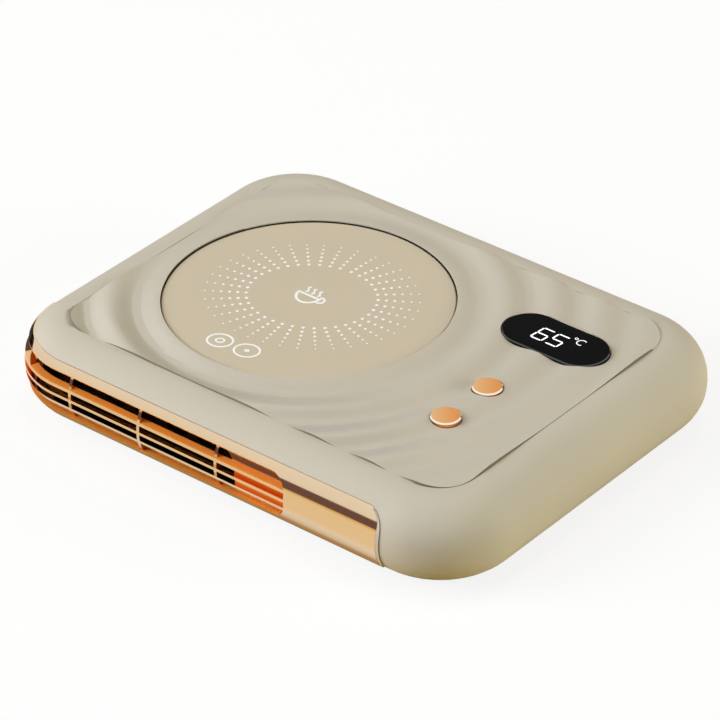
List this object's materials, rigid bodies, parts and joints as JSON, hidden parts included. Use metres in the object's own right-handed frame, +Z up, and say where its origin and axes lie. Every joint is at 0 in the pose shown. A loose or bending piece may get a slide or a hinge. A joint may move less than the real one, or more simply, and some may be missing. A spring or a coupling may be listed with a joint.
{
  "type": "electric mug warmer",
  "caption": "Pillow-shaped electric mug warmer with a round heating plate, rippled top, copper louvre band, digital display and push buttons.",
  "frame": {"origin": "on the table under the middle of the whole appliance", "axes": "+X along the long side, from the heating plate to the controls; +Z up; the user sits at -Y"},
  "size_m": [0.1924, 0.1499, 0.0326],
  "materials": {
    "soft_touch": "soft-touch greige plastic",
    "plate_coat": "matt tan coating on glass ceramic",
    "copper_polish": "polished copper-coloured plating",
    "copper_brushed": "brushed copper-coloured anodising with a polished bevel",
    "lens_black": "black smoked acrylic",
    "black_plastic": "black moulding",
    "base_plastic": "greige moulding, fine spark texture",
    "white_plastic": "white moulding",
    "rubber": "grey-black rubber",
    "silicone": "dark silicone",
    "aluminium": "plain rolled",
    "mica": "mica heating film",
    "fibre": "ceramic fibre felt",
    "steel": "zinc-plated steel",
    "board_green": "circuit board with green solder mask",
    "wire_red": "silicone wire sleeve"
  },
  "bodies": {
    "housing": {"board_cable": "white_plastic", "board_screws": "steel", "bottom_cover": "base_plastic", "buzzer": "black_plastic", "capacitor": "aluminium", "control_board": "board_green", "cover_screws": "steel", "display_lens": "lens_black", "display_module": "black_plastic", "front_left_foot": "rubber", "front_right_foot": "rubber", "heat_spreader": "aluminium", "heater_leads": "wire_red", "heater_tray": "steel", "heating_element": "mica", "heating_plate": "plate_coat", "inductor": "black_plastic", "insulation_pad": "fibre", "louvre_grille": "copper_polish", "lower_switch_case": "black_plastic", "plate_gasket": "silicone", "power_board": "board_green", "power_inlet": "steel", "rear_left_foot": "rubber", "rear_right_foot": "rubber", "temperature_sensor": "aluminium", "thermal_cutoff": "white_plastic", "top_cover": "soft_touch", "tray_screws": "steel", "trim_band": "copper_polish", "upper_switch_case": "black_plastic", "vent_duct": "black_plastic"},
    "upper_button": {"upper_button_cap": "copper_brushed", "upper_button_stem": "white_plastic", "upper_switch_plunger": "white_plastic"},
    "lower_button": {"lower_button_cap": "copper_brushed", "lower_button_stem": "white_plastic", "lower_switch_plunger": "white_plastic"}
  },
  "joints": [
    {"name": "upper_button_press", "type": "slide", "parent": "housing", "child": "upper_button", "axis": [0, 0, -1], "range_m": [0, 0.0005], "stiffness_N_per_m": 1000, "springref_m": -0.001},
    {"name": "lower_button_press", "type": "slide", "parent": "housing", "child": "lower_button", "axis": [0, 0, -1], "range_m": [0, 0.0005], "stiffness_N_per_m": 1000, "springref_m": -0.001}
  ]
}
